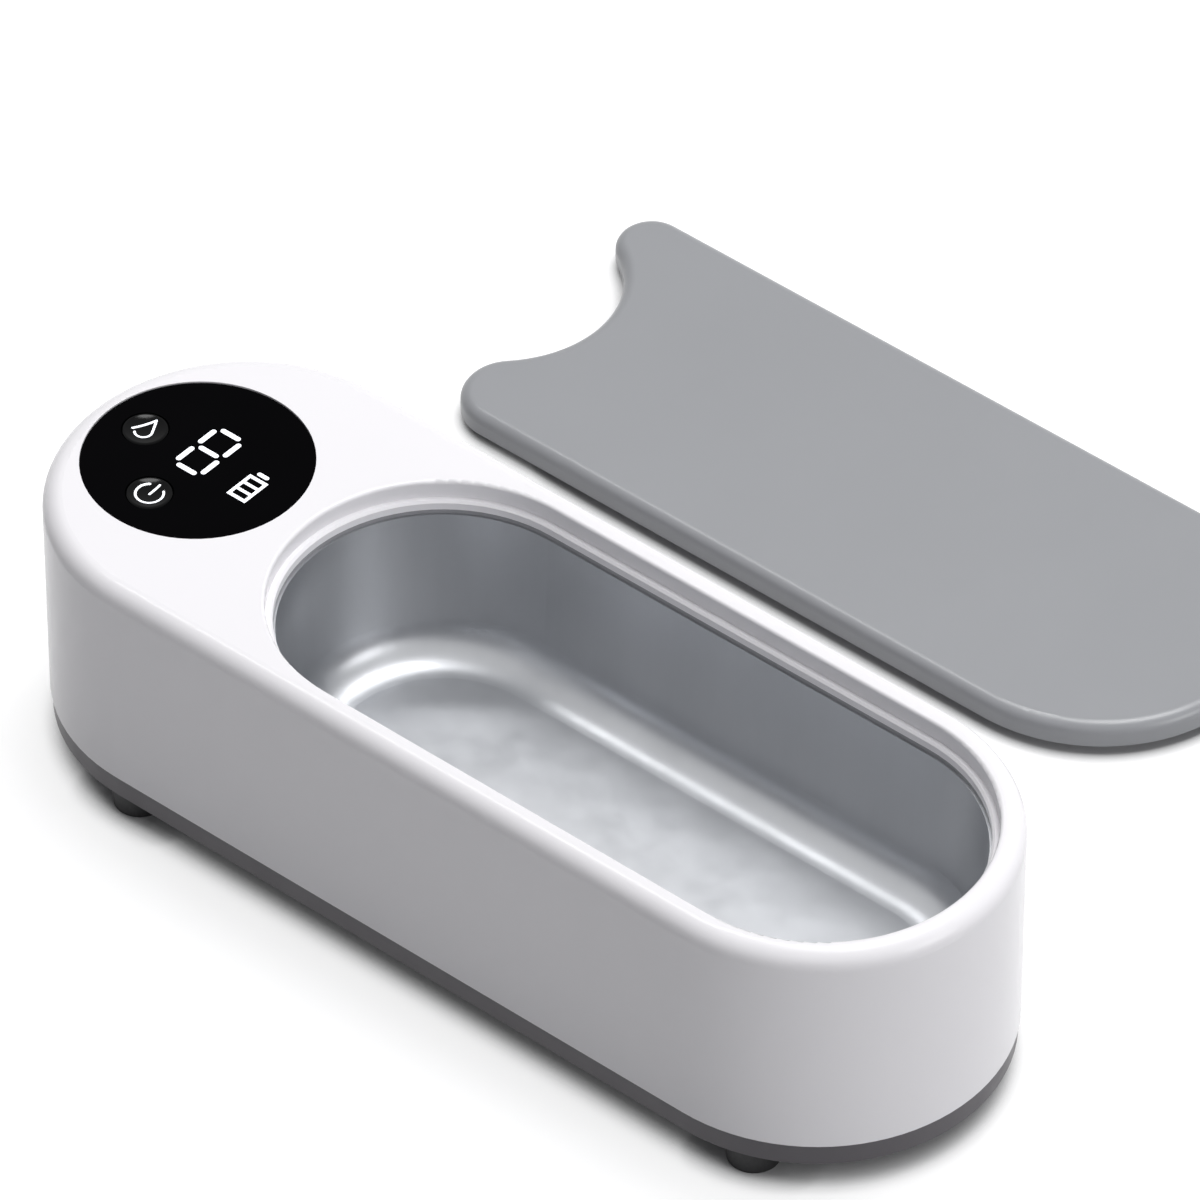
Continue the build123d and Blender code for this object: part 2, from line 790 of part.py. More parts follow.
# Inductor: drum core with a wound waist
with BuildPart() as inductor:
    with BuildSketch(driver_level(driver_top_z)):
        with Locations((inductor_x, inductor_y)):
            Circle(inductor_radius)
    extrude(amount=inductor_height)
    with BuildSketch(driver_level(driver_top_z + inductor_flange)):
        with Locations((inductor_x, inductor_y)):
            Circle(inductor_radius + inductor_groove)
            Circle(inductor_radius - inductor_groove, mode=Mode.SUBTRACT)
    extrude(amount=inductor_height - 2 * inductor_flange, mode=Mode.SUBTRACT)
write("inductor", inductor.part)

# Capacitors: rolled cans with a crimped neck
with BuildPart() as capacitors:
    with BuildSketch(driver_level(driver_top_z)):
        with Locations(*[(capacitor_x, y) for y in capacitor_ys]):
            Circle(capacitor_radius)
    extrude(amount=capacitor_height)
    chamfer(capacitors.edges().group_by(Axis.Z)[-1], capacitor_edge)
write("capacitors", capacitors.part)

# Power transistor with its metal tab against the heat sink
with BuildPart() as transistor:
    with BuildSketch(driver_level(driver_top_z)):
        with Locations((transistor_x, transistor_y)):
            Rectangle(transistor_width, transistor_thickness, align=(Align.CENTER, Align.MAX))
    extrude(amount=transistor_height)
    with BuildSketch(driver_level(driver_top_z + transistor_height)):
        with Locations((transistor_x, transistor_y)):
            Rectangle(transistor_width, tab_thickness, align=(Align.CENTER, Align.MAX))
    extrude(amount=tab_height)
write("power_transistor", transistor.part)

with BuildPart() as heat_sink:
    with BuildSketch(driver_level(driver_top_z)):
        with Locations((transistor_x, transistor_y)):
            Rectangle(sink_width, sink_plate, align=(Align.CENTER, Align.MIN))
        with Locations((transistor_x, transistor_y + sink_plate / 2)):
            with GridLocations((sink_width - sink_fin) / (sink_fins - 1), 0, sink_fins, 1):
                Rectangle(sink_fin, sink_depth, align=(Align.CENTER, Align.MIN))
    extrude(amount=sink_height)
write("heat_sink", heat_sink.part)

# Controller chip with a row of legs each side
with BuildPart() as controller_chip:
    with BuildSketch(driver_level(driver_top_z)):
        with Locations((chip_x, chip_y)):
            Rectangle(chip_length, chip_width)
    extrude(amount=chip_height)
    with BuildSketch(driver_level(driver_top_z)):
        with Locations((chip_x, chip_y)):
            with GridLocations(0, chip_leg_pitch, 1, chip_legs_a_side):
                Rectangle(chip_length + 2 * chip_leg_reach, chip_leg_width)
    extrude(amount=chip_leg_height)
write("controller_chip", controller_chip.part)

# Headers: open-topped connectors for the leads along the board's inner edge
header_ys = (charging_header_y, battery_header_y, ribbon_header_y, transducer_header_y)
with BuildPart() as headers:
    with BuildSketch(driver_level(driver_top_z)):
        with Locations(*[(header_x, y) for y in header_ys]):
            Rectangle(header_length, header_width)
    extrude(amount=header_height)
    with BuildSketch(driver_level(driver_top_z + header_height - header_depth)):
        with Locations(*[(header_x, y) for y in header_ys]):
            Rectangle(header_length - 2 * header_wall, header_width - 2 * header_wall)
    extrude(amount=header_depth, mode=Mode.SUBTRACT)
write("headers", headers.part)

# Battery: rechargeable cell that lies across the body in its cradle
with BuildPart() as battery:
    with BuildSketch(across(battery_length / 2 - battery_cap_height, battery_x, battery_z)):
        Circle(battery_radius)
    extrude(amount=battery_length - battery_cap_height)
    chamfer(battery.edges().filter_by(GeomType.CIRCLE), battery_edge)
    with BuildSketch(across(battery_length / 2, battery_x, battery_z)):
        Circle(battery_cap_radius)
    extrude(amount=battery_cap_height)
write("battery", battery.part)

with BuildPart() as battery_cradle:
    with BuildSketch(level(floor_z)):
        with Locations((battery_x, 0)):
            Rectangle(cradle_width, cradle_length)
    extrude(amount=cradle_height)
    with BuildSketch(across(cradle_length / 2, battery_x, battery_z)):
        Circle(battery_radius + cradle_gap)
    extrude(amount=cradle_length, mode=Mode.SUBTRACT)
    with BuildSketch(level(floor_z + cradle_height / 2)):
        with Locations((battery_x, 0)):
            with GridLocations(0, cradle_length / cradle_windows, 1, cradle_windows):
                Rectangle(cradle_width, cradle_window_length)
    extrude(amount=cradle_height / 2, mode=Mode.SUBTRACT)
write("battery_cradle", battery_cradle.part)

# Charging socket: pressed metal shell with its tongue, on a small board
with BuildPart() as charging_socket:
    with BuildSketch(across(body_radius - socket_inset, socket_x, socket_z)):
        SlotOverall(socket_width, socket_body_height)
    extrude(amount=socket_length)
    with BuildSketch(across(body_radius - socket_inset, socket_x, socket_z)):
        SlotOverall(socket_width - 2 * socket_shell, socket_body_height - 2 * socket_shell)
        Rectangle(socket_tongue_width, socket_tongue_height, mode=Mode.SUBTRACT)
    extrude(amount=socket_length - socket_shell, mode=Mode.SUBTRACT)
write("charging_socket", charging_socket.part)

with BuildPart() as socket_board:
    with BuildSketch(level(socket_board_z)):
        with Locations((socket_x, body_radius - shell_wall - socket_wall_gap)):
            Rectangle(socket_board_length, socket_board_width, align=(Align.CENTER, Align.MAX))
        with Locations((socket_x, socket_screw_y)):
            with GridLocations(socket_screw_spacing, 0, 2, 1):
                Circle(small_screw_radius + screw_gap, mode=Mode.SUBTRACT)
    extrude(amount=socket_board_thickness)
write("socket_board", socket_board.part)

socket_screw_places = [(socket_x + side * socket_screw_spacing / 2, socket_screw_y) for side in (-1, 1)]
write("socket_screws", screw_set(socket_screw_places, socket_board_z + socket_board_thickness, down=True))

# Leads: pairs of wires from their header on the driver board, and a flat ribbon to the display board
header_mouth_x = driver_x + header_x
header_top_z = driver_top_z + header_height
header_seat_z = header_top_z - wire_seat
wire_floor_z = floor_z + wire_radius + wire_floor_gap
wire_arch_z = header_top_z + wire_arch
battery_wire_z = display_board_z - battery_wire_drop
wire_sides = (-wire_spacing / 2, wire_spacing / 2)


def wire(points):
    """Thin wire with flats, along a route of straight runs and bends in the body's coordinates."""
    with BuildPart(mode=Mode.PRIVATE) as made:
        with BuildLine() as route:
            FilletPolyline(*[(x, body_y + y, z) for x, y, z in points], radius=wire_bend)
        with BuildSketch(Plane(route.line @ 0, z_dir=route.line % 0)):
            RegularPolygon(wire_radius, wire_side_count)
        sweep()
    return made.part


transducer_wires = [wire([
    (rim_x + transducer_wire_x, transducer_header_y + side, transducer_z),
    (rim_x + transducer_wire_x, transducer_header_y + side, wire_floor_z),
    (driver_x + wire_drop_x, transducer_header_y + side, wire_floor_z),
    (driver_x + wire_drop_x, transducer_header_y + side, wire_arch_z),
    (header_mouth_x, transducer_header_y + side, wire_arch_z),
    (header_mouth_x, transducer_header_y + side, header_seat_z),
]) for side in wire_sides]
write("transducer_lead", Compound(transducer_wires))

battery_wires = [wire([
    (battery_x, end * battery_length / 2, battery_z),
    (battery_x, end * (battery_length / 2 + battery_wire_reach), battery_z),
    (battery_x, end * (battery_length / 2 + battery_wire_reach), battery_wire_z),
    (header_mouth_x, battery_header_y + end * wire_spacing / 2, battery_wire_z),
    (header_mouth_x, battery_header_y + end * wire_spacing / 2, header_seat_z),
]) for end in (-1, 1)]
write("battery_lead", Compound(battery_wires))

socket_edge_y = body_radius - shell_wall - socket_wall_gap - socket_board_width
socket_wire_z = socket_board_z + socket_board_thickness / 2
charging_wires = [wire([
    (socket_x + socket_wire_x + side, socket_edge_y, socket_wire_z),
    (socket_x + socket_wire_x + side, socket_edge_y - socket_wire_reach, socket_wire_z),
    (socket_x + socket_wire_x + side, socket_edge_y - socket_wire_reach, wire_arch_z),
    (header_mouth_x, charging_header_y + side, wire_arch_z),
    (header_mouth_x, charging_header_y + side, header_seat_z),
]) for side in wire_sides]
write("charging_lead", Compound(charging_wires))

with BuildPart() as display_ribbon:
    with BuildLine(across(ribbon_header_y, header_mouth_x)) as ribbon_route:
        FilletPolyline((0, display_board_z), (0, display_board_z - ribbon_slack),
                       (ribbon_slack, display_board_z - 2 * ribbon_slack),
                       (0, header_top_z + ribbon_slack), (0, header_seat_z), radius=ribbon_bend)
    with BuildSketch(Plane(ribbon_route.line @ 0, z_dir=ribbon_route.line % 0)):
        Rectangle(ribbon_thickness, ribbon_width)
    sweep()
write("display_ribbon", display_ribbon.part)

# Lid: moulded cover with a notch round the control panel and a rib that drops into the rim's recess
def tip_place(radius):
    """Centre of a tip's rounding (x, distance from the middle) and its angle from the notch's centre."""
    away = lid_half_width - radius
    along = sqrt((notch_radius + radius) ** 2 - away**2)
    return display_x + along, away, degrees(atan2(away, along))


def lid_outline(inset=0.0):
    """The lid's plan, drawn in by inset: round at one end and hollowed at the other."""
    half = lid_half_width - inset
    far_x, far_y, far_angle = tip_place(lid_far_tip_radius)
    near_x, near_y, near_angle = tip_place(lid_near_tip_radius)
    with BuildLine(mode=Mode.PRIVATE) as outline:
        Line((far_x, half), (lid_right_x, half))
        CenterArc((lid_right_x, 0), half, 90, -180)
        Line((lid_right_x, -half), (near_x, -half))
        CenterArc((near_x, -near_y), lid_near_tip_radius - inset, 270, -90 - near_angle)
        CenterArc((display_x, 0), notch_radius + inset, -near_angle, near_angle + far_angle)
        CenterArc((far_x, far_y), lid_far_tip_radius - inset, 180 + far_angle, -90 - far_angle)
    return outline.edges()


with BuildPart() as lid:
    with BuildSketch(lid_level(lid_rib_depth)):
        make_face(lid_outline())
    extrude(amount=lid_thickness)
    fillet(lid.faces().sort_by(Axis.Z)[-1].edges(), lid_edge_radius)
    with BuildSketch(lid_level(lid_rib_depth)):
        make_face(lid_outline(lid_wall))
    extrude(amount=lid_thickness - lid_plate, mode=Mode.SUBTRACT)
    with BuildSketch(lid_level(0)):
        rim_outline(-lid_rib_gap)
        rim_outline(-lid_rib_gap - lid_rib_thickness, mode=Mode.SUBTRACT)
    extrude(amount=lid_rib_depth + lid_thickness - lid_plate + overlap)
write("lid", lid.part)
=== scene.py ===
from math import atan2, cos, hypot, pi, radians, sin

import bmesh
import bpy
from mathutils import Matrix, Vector


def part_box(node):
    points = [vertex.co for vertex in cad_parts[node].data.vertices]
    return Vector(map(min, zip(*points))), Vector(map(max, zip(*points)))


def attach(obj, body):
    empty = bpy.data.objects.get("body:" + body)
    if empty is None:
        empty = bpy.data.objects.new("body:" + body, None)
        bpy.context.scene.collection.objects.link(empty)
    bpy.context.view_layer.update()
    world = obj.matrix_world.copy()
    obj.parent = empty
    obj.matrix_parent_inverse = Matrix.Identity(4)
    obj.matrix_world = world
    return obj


# Ultrasonic cleaner for spectacles: materials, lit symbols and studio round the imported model.
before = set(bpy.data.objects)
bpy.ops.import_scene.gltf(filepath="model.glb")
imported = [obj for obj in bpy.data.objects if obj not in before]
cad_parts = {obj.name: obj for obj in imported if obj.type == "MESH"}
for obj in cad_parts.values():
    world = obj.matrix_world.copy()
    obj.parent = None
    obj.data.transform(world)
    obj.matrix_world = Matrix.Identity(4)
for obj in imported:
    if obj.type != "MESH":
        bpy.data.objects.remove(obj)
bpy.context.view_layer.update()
MM = 0.001

# Camera, at the photograph's viewing angle
CAMERA_AZIMUTH = radians(40.116)
CAMERA_ELEVATION = radians(42.27)
CAMERA_DISTANCE = 2.445
CAMERA_TARGET = Vector((-0.0203, -0.0184, 0.0326))
CAMERA_LENS = 352.05
CAMERA_SENSOR = 36.0

# Lit symbols on the control panel, in millimetres from the panel's centre or their key's centre
SYMBOL_THICKNESS = 0.06
DIGIT_Y = 3.4
DIGIT_BAR_LENGTH = 5.2
DIGIT_STROKE = 1.2
DIGIT_WIDTH = 6.85
DIGIT_HEIGHT = 13.8
BATTERY_X = 13.7
BATTERY_WIDTH = 5.0
BATTERY_HEIGHT = 7.5
BATTERY_WINDOWS = 3
BATTERY_WINDOW_WIDTH = 3.5
BATTERY_WINDOW_HEIGHT = 1.45
BATTERY_PITCH = 2.2
BATTERY_NUB_WIDTH = 3.0
BATTERY_NUB_HEIGHT = 1.0
BATTERY_NUB_GAP = 0.7
SYMBOL_STROKE = 0.52
POWER_RING = 2.95
POWER_GAP = 39.5
POWER_BAR = 3.2
DROP_TIP = 3.5
DROP_RADIUS = 1.85
DROP_CENTRE = -0.6
DROP_TAIL = 1.7
DROP_OPENING = 42.0
KEY_DISH_RADIUS = 4.4
KEY_DISH_DEPTH = 0.5

# Points along the symbols' round ends, rings and straight strokes
BAR_END_STEPS = 8
STROKE_END_STEPS = 6
POWER_RING_STEPS = 40
POWER_BAR_STEPS = 6
DROP_BELLY_STEPS = 24
DROP_LEFT_STEPS = 8
DROP_RIGHT_STEPS = 6

# Circuit boards: solder mask, tracks and pads
MASK_GREEN = (0.012, 0.105, 0.045)
MASK_DARK = (0.010, 0.090, 0.038)
MASK_LIGHT = (0.014, 0.115, 0.050)
TRACK_COLOUR = (0.045, 0.235, 0.095)
TRACK_SCALE = 170.0
TRACK_WIDTH = 0.03
TRACK_SOFTNESS = 0.2
TRACK_STRETCH = (1.0, 0.7, 1.0)
PAD_COLOUR = (0.55, 0.53, 0.48)
PAD_SCALE = 420.0
PAD_DISORDER = 0.35
PAD_REACH = 0.2

# Lit symbols' material: colour of the unlit face, size of the patches in the glow and their lowest level
LIT_FACE = (0.85, 0.87, 0.9)
GLOW_PATCHES = 0.004
GLOW_LOWEST = 0.93

# Surfaces: the part of a noise value's range over which a colour or a roughness changes, how much finer the
# roughness is mottled than the colour, and the pitch of a wave texture's bands at scale 1
MIX_START, MIX_END = 0.15, 0.85
SPREAD_LOW, SPREAD_HIGH = 0.25, 0.75
ROUGHNESS_FINER = 3
WAVE_PITCH = pi / 10

# Floor: a pale sheet with an added glow that makes it white to the eye. The glow fades to nothing where the
# object closes off the sky within the reach, which paints a contact shadow round the object
FLOOR_SIZE = 6.0
FLOOR_COLOUR = (0.42, 0.42, 0.425)
FLOOR_LIFT = 0.76
PAINTED_SHADOW_REACH = 0.010
PAINTED_SHADOW_CLOSED = 0.45
PAINTED_SHADOW_OPEN = 0.8

# World: light that grows from -X to +X, and a white background
FILL_COLOUR = (0.97, 0.98, 1.0)
FILL_DIM = 0.06
FILL_BRIGHT = 0.56
BACKGROUND_STRENGTH = 1.0
WHITE = (1, 1, 1)

# Lamps by name: place, target, width, height and power
LAMPS = {
    "overhead": ((0.12, 0.42, 1.7), (0, 0, 0.03), 0.8, 0.8, 15.5),
    "right_side": ((1.25, 0.05, 0.45), (0.06, -0.06, 0.03), 0.5, 0.5, 3.4),
    "strip": ((-0.56, 0.495, 1.598), (-0.089, -0.065, 0.064), 1.3, 0.12, 8.5),
}


# Node-graph helpers
def link(tree, source, target):
    """Join an output socket to an input socket."""
    tree.links.new(source, target)


def node(tree, kind, **values):
    """Add a node and set its inputs by name; spaces in a name are written as underscores."""
    made = tree.nodes.new(kind)
    for name, value in values.items():
        made.inputs[name.replace("_", " ")].default_value = value
    return made


def calculated(tree, operation, first, second):
    """Result of a two-value operation on an output socket and a number or another output socket."""
    made = tree.nodes.new("ShaderNodeMath")
    made.operation = operation
    link(tree, first, made.inputs[0])
    if isinstance(second, float):
        made.inputs[1].default_value = second
    else:
        link(tree, second, made.inputs[1])
    return made.outputs["Value"]


def place_coordinates(tree, stretch=(1, 1, 1)):
    """Coordinates that stay with the object, stretched along its axes."""
    where = tree.nodes.new("ShaderNodeTexCoord")
    scaled = tree.nodes.new("ShaderNodeMapping")
    scaled.inputs["Scale"].default_value = stretch
    link(tree, where.outputs["Object"], scaled.inputs["Vector"])
    return scaled.outputs["Vector"]


def noise(tree, size, stretch=(1, 1, 1), detail=4.0, rough=0.55):
    """Noise whose features are about that many metres across."""
    made = node(tree, "ShaderNodeTexNoise", Scale=1.0 / size, Detail=detail, Roughness=rough)
    link(tree, place_coordinates(tree, stretch), made.inputs["Vector"])
    return made.outputs["Fac"]


def spread(tree, value, low, high):
    """Value whose middle range is mapped to low..high, without a limit outside."""
    made = node(tree, "ShaderNodeMapRange", From_Min=SPREAD_LOW, From_Max=SPREAD_HIGH, To_Min=low,
                To_Max=high)
    made.clamp = False
    link(tree, value, made.inputs["Value"])
    return made.outputs["Result"]


def mixed(tree, value, first, second):
    """Two colours mixed by a value."""
    ramp = tree.nodes.new("ShaderNodeValToRGB")
    ramp.color_ramp.interpolation = "EASE"
    for element, position, colour in zip(ramp.color_ramp.elements, (MIX_START, MIX_END), (first, second)):
        element.position = position
        element.color = (*colour, 1)
    link(tree, value, ramp.inputs["Fac"])
    return ramp.outputs["Color"]


def bump(tree, shader, height, depth):
    """Bump of that many metres on a shader."""
    made = node(tree, "ShaderNodeBump", Strength=1.0, Distance=depth)
    link(tree, height, made.inputs["Height"])
    link(tree, made.outputs["Normal"], shader.inputs["Normal"])


def shaded(colour, factor):
    """Colour made lighter or darker, kept below 1."""
    return tuple(min(part * factor, 1.0) for part in colour)


def surface(name, colour, rough, variation=0.04, mottle=0.03, grain=0.0006, depth=0.00001,
            rough_spread=0.04, stretch=(1, 1, 1), **constants):
    """Material with mottled colour, uneven roughness and a fine grain."""
    made = bpy.data.materials.new(name)
    made.use_nodes = True
    tree = made.node_tree
    shader = tree.nodes["Principled BSDF"]
    for socket, value in constants.items():
        shader.inputs[socket.replace("_", " ")].default_value = value
    dark, light = shaded(colour, 1 - variation), shaded(colour, 1 + variation)
    link(tree, mixed(tree, noise(tree, mottle, stretch), dark, light), shader.inputs["Base Color"])
    patches = noise(tree, mottle / ROUGHNESS_FINER, stretch)
    link(tree, spread(tree, patches, rough - rough_spread, rough + rough_spread), shader.inputs["Roughness"])
    bump(tree, shader, noise(tree, grain, stretch, detail=2.0), depth)
    return made


def banded(name, colour, second, rough, pitch, direction="Z", depth=0.0001, **constants):
    """Material with fine parallel bands that many metres apart, such as wound wire."""
    made = surface(name, colour, rough, **constants)
    tree = made.node_tree
    shader = tree.nodes["Principled BSDF"]
    bands = node(tree, "ShaderNodeTexWave", Scale=WAVE_PITCH / pitch, Distortion=0.3, Detail=1.0)
    bands.wave_type = "BANDS"
    bands.bands_direction = direction
    link(tree, place_coordinates(tree), bands.inputs["Vector"])
    link(tree, mixed(tree, bands.outputs["Fac"], colour, second), shader.inputs["Base Color"])
    bump(tree, shader, bands.outputs["Fac"], depth)
    return made


def circuit(name):
    """Green solder mask over copper tracks, with small bright pads."""
    made = surface(name, MASK_GREEN, 0.38, variation=0.1, Specular_IOR_Level=0.5)
    tree = made.node_tree
    tracks = node(tree, "ShaderNodeTexBrick", Scale=TRACK_SCALE, Mortar_Size=TRACK_WIDTH,
                  Mortar_Smooth=TRACK_SOFTNESS, Color1=(*MASK_DARK, 1), Color2=(*MASK_LIGHT, 1),
                  Mortar=(*TRACK_COLOUR, 1))
    link(tree, place_coordinates(tree, TRACK_STRETCH), tracks.inputs["Vector"])
    pads = node(tree, "ShaderNodeTexVoronoi", Scale=PAD_SCALE, Randomness=PAD_DISORDER)
    link(tree, place_coordinates(tree), pads.inputs["Vector"])
    both = tree.nodes.new("ShaderNodeMix")
    both.data_type = "RGBA"
    both.inputs["B"].default_value = (*PAD_COLOUR, 1)
    link(tree, calculated(tree, "LESS_THAN", pads.outputs["Distance"], PAD_REACH), both.inputs["Factor"])
    link(tree, tracks.outputs["Color"], both.inputs["A"])
    link(tree, both.outputs["Result"], tree.nodes["Principled BSDF"].inputs["Base Color"])
    return made


def lit_material(name, colour, strength):
    """White light seen through the smoked panel, a little uneven from its light chamber."""
    made = surface(name, LIT_FACE, 0.35, Emission_Strength=strength)
    tree = made.node_tree
    glow = mixed(tree, noise(tree, GLOW_PATCHES), shaded(colour, GLOW_LOWEST), colour)
    link(tree, glow, tree.nodes["Principled BSDF"].inputs["Emission Color"])
    return made


# Finishes: colour and roughness, how uneven they are, at what sizes in metres, and the shader's constants
WHITE_SHELL = surface("white_shell", (0.90, 0.885, 0.91), 0.21, variation=0.008, mottle=0.05, grain=0.0012,
                      depth=0.000002, rough_spread=0.02, Specular_IOR_Level=0.32, IOR=1.42)
CHARCOAL = surface("charcoal_base", (0.070, 0.064, 0.073), 0.42, variation=0.06, mottle=0.02, grain=0.0004,
                   depth=0.000012, rough_spread=0.06)
GREY_LID = surface("grey_lid", (0.293, 0.299, 0.315), 0.34, variation=0.02, mottle=0.06, grain=0.0012,
                   depth=0.000003, rough_spread=0.025, Coat_Weight=0.15, Coat_Roughness=0.2)
PANEL = surface("black_panel", (0.0015, 0.0014, 0.0018), 0.10, variation=0.15, mottle=0.03, grain=0.001,
                depth=0.000001, rough_spread=0.03, Specular_IOR_Level=0.02, IOR=1.3)
KEY = surface("black_key", (0.0018, 0.0018, 0.0022), 0.09, variation=0.12, mottle=0.006, grain=0.0012,
              depth=0.0000005, rough_spread=0.02, Specular_IOR_Level=0.13, IOR=1.4)
RUBBER = surface("black_rubber", (0.012, 0.012, 0.013), 0.62, variation=0.12, mottle=0.005, grain=0.00035,
                 depth=0.00002, rough_spread=0.08)
TANK_STEEL = surface("tank_steel", (0.47, 0.48, 0.50), 0.37, variation=0.05, mottle=0.02, grain=0.0012,
                     depth=0.000003, rough_spread=0.04, stretch=(1, 1, 0.12), Metallic=1.0)
STEEL = surface("screw_steel", (0.56, 0.56, 0.58), 0.36, variation=0.08, mottle=0.002, grain=0.0003,
                depth=0.00001, Metallic=1.0)
SILICONE = surface("grey_silicone", (0.30, 0.30, 0.32), 0.55, variation=0.05, mottle=0.006, depth=0.00001,
                   Sheen_Weight=0.1)
NYLON = surface("black_nylon", (0.020, 0.020, 0.022), 0.50, variation=0.10, mottle=0.008, grain=0.0004,
                depth=0.000015)
CERAMIC = surface("piezo_ceramic", (0.66, 0.64, 0.58), 0.45, variation=0.05, mottle=0.006, grain=0.0003,
                  depth=0.000012)
EPOXY = surface("epoxy", (0.52, 0.45, 0.26), 0.35, variation=0.10, mottle=0.004, depth=0.00003)
PLUNGER = surface("switch_plunger", (0.70, 0.68, 0.62), 0.40, variation=0.04, mottle=0.002)
LIGHT_MODULE = surface("light_module", (0.78, 0.78, 0.77), 0.45, variation=0.04, mottle=0.003)
FERRITE = surface("ferrite", (0.055, 0.055, 0.060), 0.48, variation=0.22, mottle=0.0008, grain=0.0003,
                  depth=0.00003, Metallic=0.4)
COPPER = banded("copper_coil", (0.60, 0.25, 0.09), (0.22, 0.07, 0.02), 0.36, 0.0005, "Z", Metallic=0.9,
                Coat_Weight=0.6)
CAPACITOR = surface("capacitor_can", (0.030, 0.035, 0.075), 0.19, variation=0.15, mottle=0.004,
                    Coat_Weight=0.4)
ALUMINIUM = surface("sink_aluminium", (0.62, 0.63, 0.65), 0.38, variation=0.05, mottle=0.003,
                    grain=0.0003, depth=0.00001, stretch=(1, 1, 0.08), Metallic=1.0)
HEADER = surface("header_plastic", (0.80, 0.77, 0.68), 0.42, variation=0.03, mottle=0.003)
BATTERY_WRAP = surface("battery_wrap", (0.030, 0.145, 0.42), 0.18, variation=0.06, mottle=0.012,
                       grain=0.002, depth=0.00002, Coat_Weight=0.5)
SOCKET_STEEL = surface("socket_steel", (0.60, 0.60, 0.61), 0.19, variation=0.05, mottle=0.002,
                       stretch=(1, 0.15, 1), Metallic=1.0)
WIRE = banded("red_wire", (0.46, 0.018, 0.015), (0.38, 0.012, 0.010), 0.38, 0.004, "Z", depth=0.000004)
FILM = banded("ribbon_film", (0.66, 0.64, 0.58), (0.42, 0.38, 0.30), 0.36, 0.001, "Y", depth=0.00001,
              Coat_Weight=0.4)
BOARD = circuit("circuit_board")
LIT = lit_material("lit_symbol", (0.92, 0.94, 1.0), 0.75)

FINISHES = {
    "housing": WHITE_SHELL, "base": CHARCOAL, "base_seal": SILICONE, "base_screws": STEEL,
    "foot_front_left": RUBBER, "foot_rear_left": RUBBER,
    "foot_front_right": RUBBER, "foot_rear_right": RUBBER,
    "tank": TANK_STEEL, "tank_gasket": SILICONE, "tank_clamp": NYLON, "clamp_screws": STEEL,
    "transducer": CERAMIC, "transducer_bond": EPOXY,
    "display_panel": PANEL, "soak_key": KEY, "power_key": KEY,
    "soak_plunger": PLUNGER, "power_plunger": PLUNGER, "soak_switch": NYLON, "power_switch": NYLON,
    "display_board": BOARD, "display_screws": STEEL,
    "digit_module": LIGHT_MODULE, "gauge_module": LIGHT_MODULE,
    "driver_board": BOARD, "driver_screws": STEEL, "transformer_core": FERRITE, "transformer_coil": COPPER,
    "inductor": FERRITE, "capacitors": CAPACITOR, "power_transistor": NYLON, "heat_sink": ALUMINIUM,
    "controller_chip": NYLON, "headers": HEADER, "battery": BATTERY_WRAP, "battery_cradle": NYLON,
    "charging_socket": SOCKET_STEEL, "socket_board": BOARD, "socket_screws": STEEL, "transducer_lead": WIRE,
    "battery_lead": WIRE, "charging_lead": WIRE, "display_ribbon": FILM, "lid": GREY_LID,
}


def dress(name, finish):
    """Give every material slot of a CAD node its finish."""
    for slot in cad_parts[name].material_slots:
        slot.material = finish


for part, finish in FINISHES.items():
    dress(part, finish)


# Symbols
def centre_of(name):
    """Middle of a node's top, in millimetres."""
    low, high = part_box(name)
    return Vector(((low[0] + high[0]) / 2, (low[1] + high[1]) / 2, high[2])) / MM


def arc(centre, radius, start, end, steps):
    """Evenly spaced points on an arc, from its start to its end angle."""
    turns = (start + (end - start) * step / steps for step in range(steps + 1))
    return [centre + Vector((cos(turn), sin(turn))) * radius for turn in turns]


def straight(start, end, steps):
    """Evenly spaced points from start to end."""
    return [start + (end - start) * step / steps for step in range(steps + 1)]


def bar_outline(centre, length, width, angle):
    """Outline of a bar with round ends, turned by angle."""
    reach = Vector((cos(angle), sin(angle))) * (length - width) / 2
    first, second = angle - pi / 2, angle + pi / 2
    return (arc(Vector(centre) + reach, width / 2, first, second, BAR_END_STEPS)
            + arc(Vector(centre) - reach, width / 2, second, second + pi, BAR_END_STEPS))


def box_outline(centre, width, height):
    """Outline of an upright rectangle."""
    x, y = centre
    corners = ((1, -1), (1, 1), (-1, 1), (-1, -1))
    return [Vector((x + side * width / 2, y + end * height / 2)) for side, end in corners]


def stroke_outline(path, width):
    """Outline of a line of even width along a path, with round ends."""
    left, right = [], []
    last = len(path) - 1
    for index, point in enumerate(path):
        ahead = path[min(index + 1, last)] - path[max(index - 1, 0)]
        side = Vector((-ahead.y, ahead.x)).normalized() * width / 2
        left.append(point + side)
        right.append(point - side)
    start, end = path[0] - path[1], path[last] - path[last - 1]
    return left + cap(path[last], end, width) + right[::-1] + cap(path[0], start, width)


def cap(point, outward, width):
    """Points of a round end, from the left side of the outward direction to its right."""
    turn = atan2(outward.y, outward.x)
    return arc(point, width / 2, turn + pi / 2, turn - pi / 2, STROKE_END_STEPS)[1:-1]


def flat(_):
    """Height of the flat panel."""
    return 0.0


def dish(point):
    """Height of a key's dished face under its rim at a point measured from its centre."""
    sphere = (KEY_DISH_RADIUS**2 + KEY_DISH_DEPTH**2) / (2 * KEY_DISH_DEPTH)
    return sphere - KEY_DISH_DEPTH - (sphere**2 - min(hypot(*point), KEY_DISH_RADIUS) ** 2) ** 0.5


